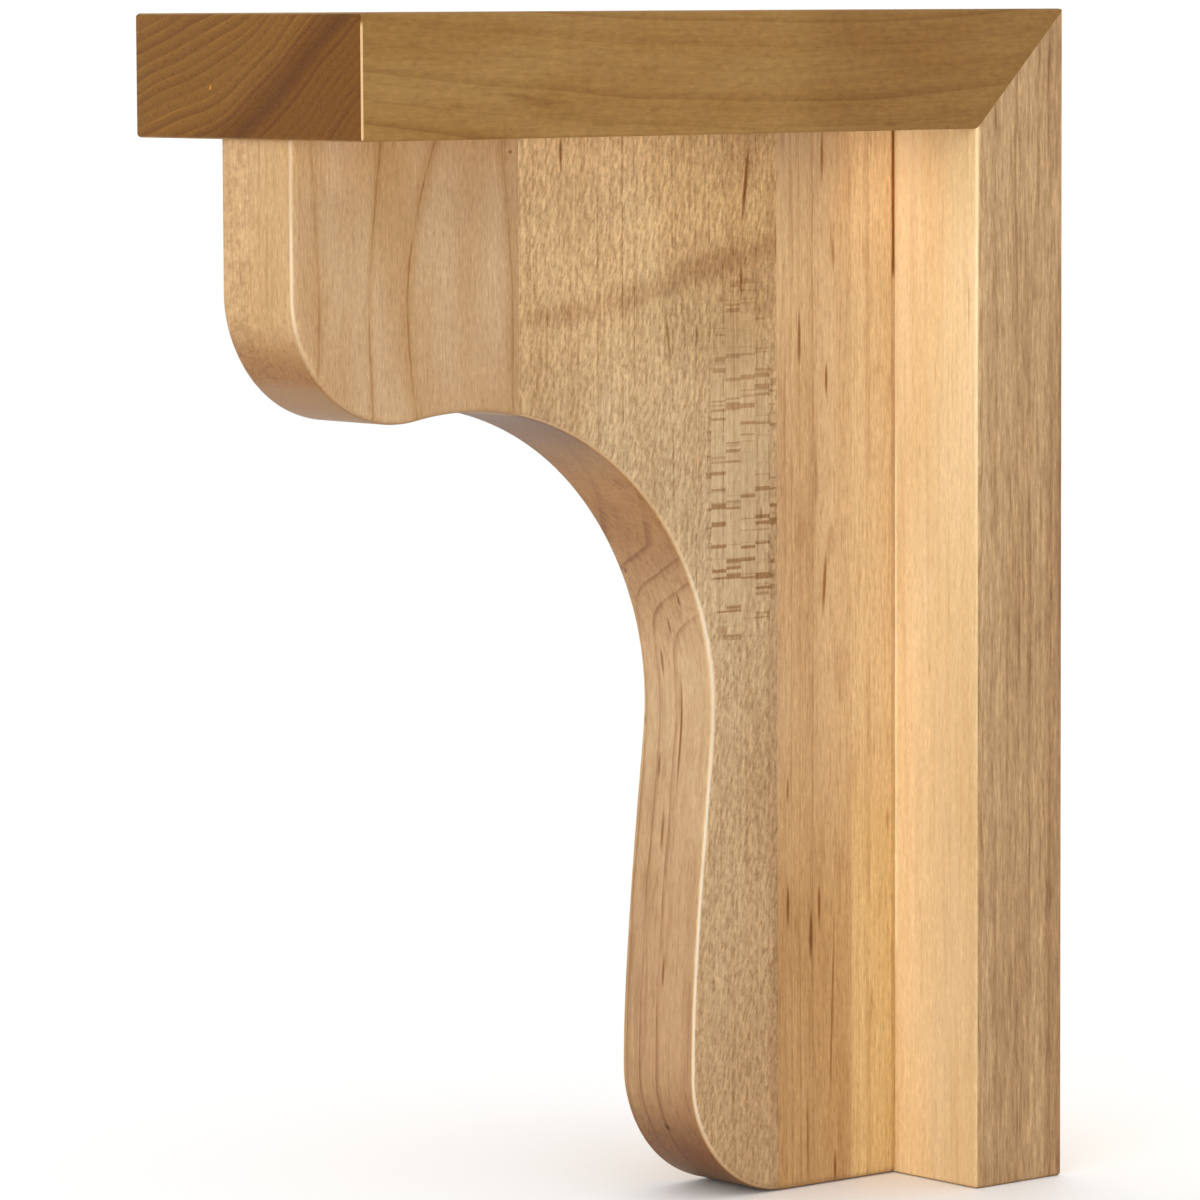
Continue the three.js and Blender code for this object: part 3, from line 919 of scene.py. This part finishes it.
def back_stave_wood():
    """The stave against the back board: broken lines, dark streaks and a yellow strip."""
    wood = Wood("web_back_stave_maple", "z", 47.0)
    place = wood.parts(wood.warped(0.9, (0.04, 0.04, 0.006)))
    radius = wood.math("MULTIPLY_ADD", place[0], 0.4, place[1])
    share, own = wood.rings(radius, 3.1, 1.1)
    broken = wood.noise((0.3, 0.3, 0.035), 2.0, 27.0)
    line = wood.times(wood.growth_line(share, own, 0.2, 0.0, 0.9), wood.ramp(broken, 0.35, 0.6))
    cloud = wood.noise((0.09, 0.09, 0.012), 3.0, 1.0)
    colour = clouded(wood, cloud, (215, 180, 134), (206, 168, 120))
    yellow = wood.mix(wood.ramp(wood.z, -25.0, -55.0), tone(228, 195, 146), tone(224, 190, 126))
    colour = wood.mix(wood.times(wood.ramp(wood.y, -40.0, -36.0), 0.6), colour, yellow)
    dull = wood.times(wood.ramp(wood.y, -40.0, -50.0), wood.ramp(wood.z, 80.0, 20.0))
    dull = wood.times(dull, wood.ramp(wood.z, -60.0, -20.0, 0.25, 1.0))
    colour = wood.tint(colour, dull, 0.84, 0.8, 0.77)
    foot = wood.times(wood.ramp(wood.y, -36.5, -40.0), wood.ramp(wood.z, -20.0, -75.0))
    colour = wood.tint(colour, foot, 0.77, 0.69, 0.55)
    colour = wood.shade(colour, line, 0.24)
    brown = wood.growth_line(share, own, 0.75, 0.2, 1.0)
    brown = wood.times(brown, wood.ramp(wood.y, -42.0, -47.0))
    colour = wood.shade(colour, brown, 0.22)
    blotch = wood.noise((0.25, 0.25, 0.05), 2.0, 14.0)
    colour = wood.shade(colour, wood.ramp(blotch, 0.58, 0.72), 0.16)
    colour = wood.shade(colour, wood.ramp(wood.y, -26.9, -26.1), 0.26)
    gap = wood.times(wood.ramp(wood.y, -26.4, -26.1), wood.ramp(wood.z, 68.0, 71.0))
    colour = wood.shade(colour, gap, 0.75)
    colour = wood.shade(colour, back_stave_streaks(wood), 0.72)
    # Painted light near the top, against the shade under the top board
    painted_light_near_top = wood.times(wood.ramp(wood.z, 60.0, 98.0), wood.ramp(wood.y, -50.0, -36.0))
    colour = wood.light(colour, painted_light_near_top, 0.34)
    joint = wood.times(wood.ramp(wood.y, -55.5, -58.5), wood.ramp(wood.z, 66.0, 40.0))
    colour = wood.shade(colour, joint, 0.1)
    colour, fibre = silk(wood, colour, 0.17, 12.0, 0.6)
    # The arris gets a pale painted highlight; the faces that turn down get a painted tone of shade
    # and reflection
    return wood.close(web_finish(wood, colour, tone(244, 206, 154), tone(150, 116, 90)), fibre)


def build_boards():
    top = board_mesh(TOP_THICKNESS, PROJECTION, BACK_THICKNESS, top_board_place)
    finish_piece("top_board_dressed", top, top_board_wood(), "top_board")
    back = board_mesh(BACK_THICKNESS, HEIGHT, TOP_THICKNESS, back_board_place)
    finish_piece("back_board_dressed", back, back_board_wood(), "back_board")


def build_web():
    blank = web_blank()
    gap = HAIRLINE / 2
    staves = [
        ("web_front_stave", None, FRONT_GLUE_Y - gap, front_stave_wood),
        ("web_middle_stave", FRONT_GLUE_Y + gap, BACK_GLUE_Y - gap, middle_stave_wood),
        ("web_back_stave", BACK_GLUE_Y + gap, back_low.y - HAIRLINE, back_stave_wood),
    ]
    for node, front_y, back_y, wood in staves:
        finish_piece(node + "_dressed", stave(blank, front_y, back_y), wood(), node)
    blank.free()


# The photograph's view, from a camera fitted to the bracket's corners
VIEW_AZIMUTH = radians(50.325)
VIEW_ELEVATION = radians(5.316)
VIEW_ROLL = radians(-0.293)
VIEW_DISTANCE = 1.3483
VIEW_TARGET = Vector((0, -0.1, 0))
VIEW_ASIDE = 0.95 * MM
VIEW_RAISED = 3.01 * MM
FOCAL_PIXELS = 6378.1
PHOTO_PIXELS = 1200
SENSOR = 36
VIEW_CLIP = (0.1, 20)


def build_camera():
    azimuth, elevation = VIEW_AZIMUTH, VIEW_ELEVATION
    back = Vector((sin(azimuth) * cos(elevation), -cos(azimuth) * cos(elevation), sin(elevation)))
    right = Vector((cos(azimuth), sin(azimuth), 0))
    up = back.cross(right)
    rolled_right = right * cos(VIEW_ROLL) + up * sin(VIEW_ROLL)
    rolled_up = up * cos(VIEW_ROLL) - right * sin(VIEW_ROLL)
    data = bpy.data.cameras.new("camera")
    data.sensor_width = SENSOR
    data.lens = FOCAL_PIXELS / PHOTO_PIXELS * SENSOR
    data.clip_start, data.clip_end = VIEW_CLIP
    camera = bpy.data.objects.new("camera", data)
    turn = Matrix((rolled_right, rolled_up, back)).transposed().to_4x4()
    place = VIEW_TARGET + back * VIEW_DISTANCE + rolled_right * VIEW_ASIDE + rolled_up * VIEW_RAISED
    camera.matrix_world = Matrix.Translation(place) @ turn
    bpy.context.scene.collection.objects.link(camera)
    bpy.context.scene.camera = camera


# A plain pale floor under plain soft light
FLOOR_HALF = 6.0
FLOOR_WHITE = (0.97, 0.97, 0.97)
FLOOR_ROUGHNESS = 0.6
WORLD_STRENGTH = 1.03
LIT_PLACE = Vector((0, -0.09, 0))


def plain_surface(name, colour, roughness):
    material = bpy.data.materials.new(name)
    material.use_nodes = True
    surface = material.node_tree.nodes["Principled BSDF"]
    surface.inputs["Base Color"].default_value = colour
    surface.inputs["Roughness"].default_value = roughness
    return material


def build_floor():
    half = FLOOR_HALF
    data = bpy.data.meshes.new("floor")
    corners = [(-half, -half), (half, -half), (half, half), (-half, half)]
    data.from_pydata([(x, y, back_low.z) for x, y in corners], [], [(0, 1, 2, 3)])
    data.materials.append(plain_surface("floor_white", (*FLOOR_WHITE, 1), FLOOR_ROUGHNESS))
    floor = bpy.data.objects.new("floor", data)
    bpy.context.scene.collection.objects.link(floor)


def area_light(name, toward, distance, size, power, colour):
    data = bpy.data.lights.new(name, "AREA")
    data.shape = "SQUARE"
    data.size = size
    data.energy = power
    data.color = colour
    light = bpy.data.objects.new(name, data)
    direction = Vector(toward).normalized()
    light.location = LIT_PLACE + direction * distance
    light.rotation_mode = "QUATERNION"
    light.rotation_quaternion = direction.to_track_quat("Z", "Y")
    bpy.context.scene.collection.objects.link(light)


def build_lights():
    world = bpy.data.worlds.new("studio")
    bpy.context.scene.world = world
    world.use_nodes = True
    background = world.node_tree.nodes["Background"]
    background.inputs["Color"].default_value = (1, 1, 1, 1)
    background.inputs["Strength"].default_value = WORLD_STRENGTH
    area_light("key", (0.55, -1, 0.2), distance=1.6, size=0.9, power=7, colour=(1, 0.98, 0.94))
    area_light("top", (0, 0, 1), distance=2.5, size=2.0, power=4, colour=(1, 1, 1))
    bpy.context.scene.view_settings.view_transform = "Standard"


build_boards()
build_web()
build_camera()
build_floor()
build_lights()
